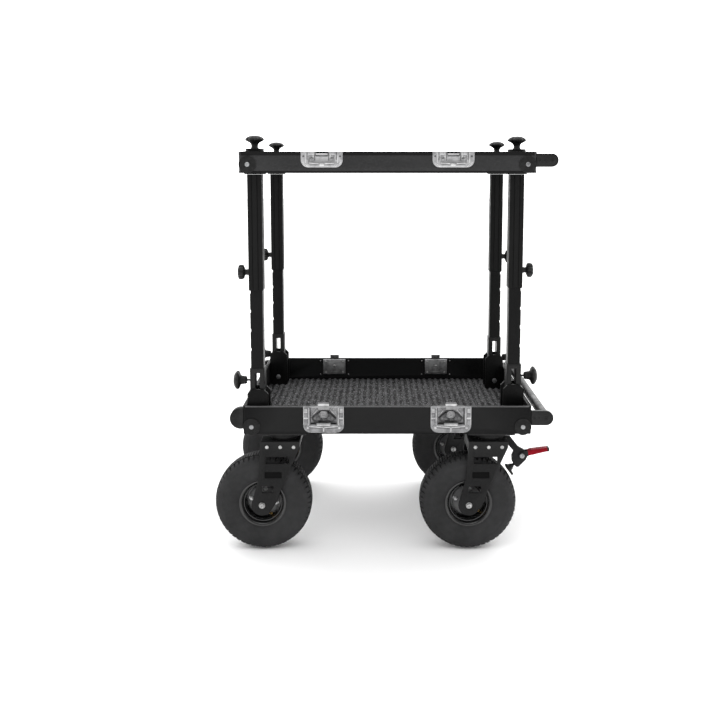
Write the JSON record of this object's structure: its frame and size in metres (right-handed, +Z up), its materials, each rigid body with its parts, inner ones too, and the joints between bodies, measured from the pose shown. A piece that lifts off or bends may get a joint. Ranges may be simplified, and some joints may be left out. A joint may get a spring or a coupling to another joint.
{
  "type": "equipment cart",
  "caption": "Two-shelf folding equipment cart with a height-adjustable top tray, folding posts, push handles and braked pneumatic swivel casters.",
  "frame": {"origin": "on the floor, below the middle of the overall outline", "axes": "+Z up, +X towards the handle end, the long walls with the latches face -Y and +Y"},
  "size_m": [0.8952, 0.5592, 1.1],
  "materials": {
    "tray_paint": "satin",
    "post_black": "satin",
    "fork_black": "satin",
    "carpet": "matte",
    "black_plastic": "matte",
    "knob_plastic": "satin",
    "latch_plate": "satin",
    "keeper_plate": "satin",
    "latch_wing": "satin",
    "bolt_steel": "polished",
    "tyre": "matte",
    "rim_black": "gloss",
    "brake_red": "satin"
  },
  "bodies": {
    "chassis": {"lower_tray": "tray_paint", "lower_carpet": "carpet", "post_brackets": "post_black", "lower_handle": "post_black", "corner_guards": "black_plastic", "caster_plates": "post_black", "latch_dishes": "latch_plate", "latch_cores": "latch_plate", "chassis_fasteners": "bolt_steel"},
    "shelf": {"upper_tray": "tray_paint", "upper_carpet": "carpet", "upper_handle": "post_black", "upper_discs": "black_plastic", "keeper_dishes": "keeper_plate", "post_sockets": "post_black", "shelf_fasteners": "bolt_steel"},
    "lower_post_front_left": {"lower_post_front_left": "post_black"},
    "upper_post_front_left": {"upper_post_front_left": "post_black"},
    "side_knob_front_left": {"side_knob_front_left": "knob_plastic"},
    "lock_knob_front_left": {"lock_knob_front_left": "knob_plastic"},
    "top_knob_front_left": {"top_knob_front_left": "knob_plastic"},
    "latch_wings_front_left": {"latch_wings_front_left": "latch_wing"},
    "fork_front_left": {"fork_front_left": "fork_black", "fork_bolts_front_left": "bolt_steel"},
    "wheel_front_left": {"tyre_front_left": "tyre", "rim_front_left": "rim_black"},
    "lower_post_front_right": {"lower_post_front_right": "post_black"},
    "upper_post_front_right": {"upper_post_front_right": "post_black"},
    "side_knob_front_right": {"side_knob_front_right": "knob_plastic"},
    "lock_knob_front_right": {"lock_knob_front_right": "knob_plastic"},
    "top_knob_front_right": {"top_knob_front_right": "knob_plastic"},
    "latch_wings_front_right": {"latch_wings_front_right": "latch_wing"},
    "fork_front_right": {"fork_front_right": "fork_black", "fork_bolts_front_right": "bolt_steel"},
    "wheel_front_right": {"tyre_front_right": "tyre", "rim_front_right": "rim_black"},
    "brake_lever_front_right": {"brake_lever_front_right": "brake_red"},
    "brake_shoe_front_right": {"brake_shoe_front_right": "post_black"},
    "lower_post_rear_left": {"lower_post_rear_left": "post_black"},
    "upper_post_rear_left": {"upper_post_rear_left": "post_black"},
    "side_knob_rear_left": {"side_knob_rear_left": "knob_plastic"},
    "lock_knob_rear_left": {"lock_knob_rear_left": "knob_plastic"},
    "top_knob_rear_left": {"top_knob_rear_left": "knob_plastic"},
    "latch_wings_rear_left": {"latch_wings_rear_left": "latch_wing"},
    "fork_rear_left": {"fork_rear_left": "fork_black", "fork_bolts_rear_left": "bolt_steel"},
    "wheel_rear_left": {"tyre_rear_left": "tyre", "rim_rear_left": "rim_black"},
    "lower_post_rear_right": {"lower_post_rear_right": "post_black"},
    "upper_post_rear_right": {"upper_post_rear_right": "post_black"},
    "side_knob_rear_right": {"side_knob_rear_right": "knob_plastic"},
    "lock_knob_rear_right": {"lock_knob_rear_right": "knob_plastic"},
    "top_knob_rear_right": {"top_knob_rear_right": "knob_plastic"},
    "latch_wings_rear_right": {"latch_wings_rear_right": "latch_wing"},
    "fork_rear_right": {"fork_rear_right": "fork_black", "fork_bolts_rear_right": "bolt_steel"},
    "wheel_rear_right": {"tyre_rear_right": "tyre", "rim_rear_right": "rim_black"},
    "brake_lever_rear_right": {"brake_lever_rear_right": "brake_red"},
    "brake_shoe_rear_right": {"brake_shoe_rear_right": "post_black"}
  },
  "joints": [
    {"name": "shelf_height", "type": "slide", "parent": "chassis", "child": "shelf", "axis": [0, 0, 1], "range_m": [-0.2032, 0]},
    {"name": "post_fold_front_left", "type": "hinge", "parent": "chassis", "child": "lower_post_front_left", "pos_m": [-0.328, -0.225, 0.358], "axis": [0, 1, 0], "range_deg": [0, 90]},
    {"name": "sleeve_front_left", "type": "slide", "parent": "lower_post_front_left", "child": "upper_post_front_left", "axis": [0, 0, 1], "range_m": [-0.2032, 0]},
    {"name": "side_knob_front_left", "type": "hinge", "parent": "upper_post_front_left", "child": "side_knob_front_left", "pos_m": [-0.347, -0.225, 0.7466], "axis": [1, 0, 0], "continuous": true},
    {"name": "lock_knob_front_left", "type": "hinge", "parent": "lower_post_front_left", "child": "lock_knob_front_left", "pos_m": [-0.328, -0.225, 0.459], "axis": [1, 0, 0], "continuous": true},
    {"name": "top_knob_front_left", "type": "hinge", "parent": "shelf", "child": "top_knob_front_left", "pos_m": [-0.328, -0.225, 1.066], "axis": [0, 0, 1], "continuous": true},
    {"name": "latch_wings_front_left", "type": "hinge", "parent": "chassis", "child": "latch_wings_front_left", "pos_m": [-0.1525, -0.267, 0.38], "axis": [-1, 0, 0], "range_deg": [0, 90]},
    {"name": "caster_swivel_front_left", "type": "hinge", "parent": "chassis", "child": "fork_front_left", "pos_m": [-0.2606, -0.217, 0.303], "axis": [0, 0, 1], "continuous": true},
    {"name": "wheel_spin_front_left", "type": "hinge", "parent": "fork_front_left", "child": "wheel_front_left", "pos_m": [-0.3176, -0.217, 0.13], "axis": [0, 1, 0], "continuous": true},
    {"name": "post_fold_front_right", "type": "hinge", "parent": "chassis", "child": "lower_post_front_right", "pos_m": [0.354, -0.177, 0.358], "axis": [0, -1, 0], "range_deg": [0, 90]},
    {"name": "sleeve_front_right", "type": "slide", "parent": "lower_post_front_right", "child": "upper_post_front_right", "axis": [0, 0, 1], "range_m": [-0.2032, 0]},
    {"name": "side_knob_front_right", "type": "hinge", "parent": "upper_post_front_right", "child": "side_knob_front_right", "pos_m": [0.373, -0.177, 0.7466], "axis": [1, 0, 0], "continuous": true},
    {"name": "lock_knob_front_right", "type": "hinge", "parent": "lower_post_front_right", "child": "lock_knob_front_right", "pos_m": [0.354, -0.177, 0.459], "axis": [1, 0, 0], "continuous": true},
    {"name": "top_knob_front_right", "type": "hinge", "parent": "shelf", "child": "top_knob_front_right", "pos_m": [0.354, -0.177, 1.066], "axis": [0, 0, 1], "continuous": true},
    {"name": "latch_wings_front_right", "type": "hinge", "parent": "chassis", "child": "latch_wings_front_right", "pos_m": [0.1785, -0.267, 0.38], "axis": [-1, 0, 0], "range_deg": [0, 90]},
    {"name": "caster_swivel_front_right", "type": "hinge", "parent": "chassis", "child": "fork_front_right", "pos_m": [0.2866, -0.217, 0.303], "axis": [0, 0, 1], "continuous": true},
    {"name": "wheel_spin_front_right", "type": "hinge", "parent": "fork_front_right", "child": "wheel_front_right", "pos_m": [0.2296, -0.217, 0.13], "axis": [0, 1, 0], "continuous": true},
    {"name": "brake_lever_front_right", "type": "hinge", "parent": "fork_front_right", "child": "brake_lever_front_right", "pos_m": [0.3746, -0.217, 0.251], "axis": [0, 1, 0], "range_deg": [0, 35]},
    {"name": "brake_shoe_front_right", "type": "slide", "parent": "fork_front_right", "child": "brake_shoe_front_right", "axis": [-0.7929, 0, -0.6094], "range_m": [0, 0.0045]},
    {"name": "post_fold_rear_left", "type": "hinge", "parent": "chassis", "child": "lower_post_rear_left", "pos_m": [-0.328, 0.225, 0.358], "axis": [0, 1, 0], "range_deg": [0, 90]},
    {"name": "sleeve_rear_left", "type": "slide", "parent": "lower_post_rear_left", "child": "upper_post_rear_left", "axis": [0, 0, 1], "range_m": [-0.2032, 0]},
    {"name": "side_knob_rear_left", "type": "hinge", "parent": "upper_post_rear_left", "child": "side_knob_rear_left", "pos_m": [-0.347, 0.225, 0.7466], "axis": [1, 0, 0], "continuous": true},
    {"name": "lock_knob_rear_left", "type": "hinge", "parent": "chassis", "child": "lock_knob_rear_left", "pos_m": [-0.328, 0.225, 0.427], "axis": [1, 0, 0], "continuous": true},
    {"name": "top_knob_rear_left", "type": "hinge", "parent": "shelf", "child": "top_knob_rear_left", "pos_m": [-0.328, 0.225, 1.066], "axis": [0, 0, 1], "continuous": true},
    {"name": "latch_wings_rear_left", "type": "hinge", "parent": "chassis", "child": "latch_wings_rear_left", "pos_m": [-0.1525, 0.267, 0.38], "axis": [1, 0, 0], "range_deg": [0, 90]},
    {"name": "caster_swivel_rear_left", "type": "hinge", "parent": "chassis", "child": "fork_rear_left", "pos_m": [-0.2606, 0.217, 0.303], "axis": [0, 0, 1], "continuous": true},
    {"name": "wheel_spin_rear_left", "type": "hinge", "parent": "fork_rear_left", "child": "wheel_rear_left", "pos_m": [-0.3176, 0.217, 0.13], "axis": [0, 1, 0], "continuous": true},
    {"name": "post_fold_rear_right", "type": "hinge", "parent": "chassis", "child": "lower_post_rear_right", "pos_m": [0.354, 0.177, 0.358], "axis": [0, -1, 0], "range_deg": [0, 90]},
    {"name": "sleeve_rear_right", "type": "slide", "parent": "lower_post_rear_right", "child": "upper_post_rear_right", "axis": [0, 0, 1], "range_m": [-0.2032, 0]},
    {"name": "side_knob_rear_right", "type": "hinge", "parent": "upper_post_rear_right", "child": "side_knob_rear_right", "pos_m": [0.373, 0.177, 0.7466], "axis": [1, 0, 0], "continuous": true},
    {"name": "lock_knob_rear_right", "type": "hinge", "parent": "chassis", "child": "lock_knob_rear_right", "pos_m": [0.354, 0.177, 0.427], "axis": [1, 0, 0], "continuous": true},
    {"name": "top_knob_rear_right", "type": "hinge", "parent": "shelf", "child": "top_knob_rear_right", "pos_m": [0.354, 0.177, 1.066], "axis": [0, 0, 1], "continuous": true},
    {"name": "latch_wings_rear_right", "type": "hinge", "parent": "chassis", "child": "latch_wings_rear_right", "pos_m": [0.1785, 0.267, 0.38], "axis": [1, 0, 0], "range_deg": [0, 90]},
    {"name": "caster_swivel_rear_right", "type": "hinge", "parent": "chassis", "child": "fork_rear_right", "pos_m": [0.2866, 0.217, 0.303], "axis": [0, 0, 1], "continuous": true},
    {"name": "wheel_spin_rear_right", "type": "hinge", "parent": "fork_rear_right", "child": "wheel_rear_right", "pos_m": [0.2296, 0.217, 0.13], "axis": [0, 1, 0], "continuous": true},
    {"name": "brake_lever_rear_right", "type": "hinge", "parent": "fork_rear_right", "child": "brake_lever_rear_right", "pos_m": [0.3746, 0.217, 0.251], "axis": [0, 1, 0], "range_deg": [0, 35]},
    {"name": "brake_shoe_rear_right", "type": "slide", "parent": "fork_rear_right", "child": "brake_shoe_rear_right", "axis": [-0.7929, 0, -0.6094], "range_m": [0, 0.0045]}
  ],
  "couplings": [
    {"joint": "sleeve_front_left", "follows": "shelf_height", "ratio": 1},
    {"joint": "sleeve_front_right", "follows": "shelf_height", "ratio": 1},
    {"joint": "brake_shoe_front_right", "follows": "brake_lever_front_right", "m_per_rad": 0.007},
    {"joint": "sleeve_rear_left", "follows": "shelf_height", "ratio": 1},
    {"joint": "sleeve_rear_right", "follows": "shelf_height", "ratio": 1},
    {"joint": "brake_shoe_rear_right", "follows": "brake_lever_rear_right", "m_per_rad": 0.007}
  ]
}
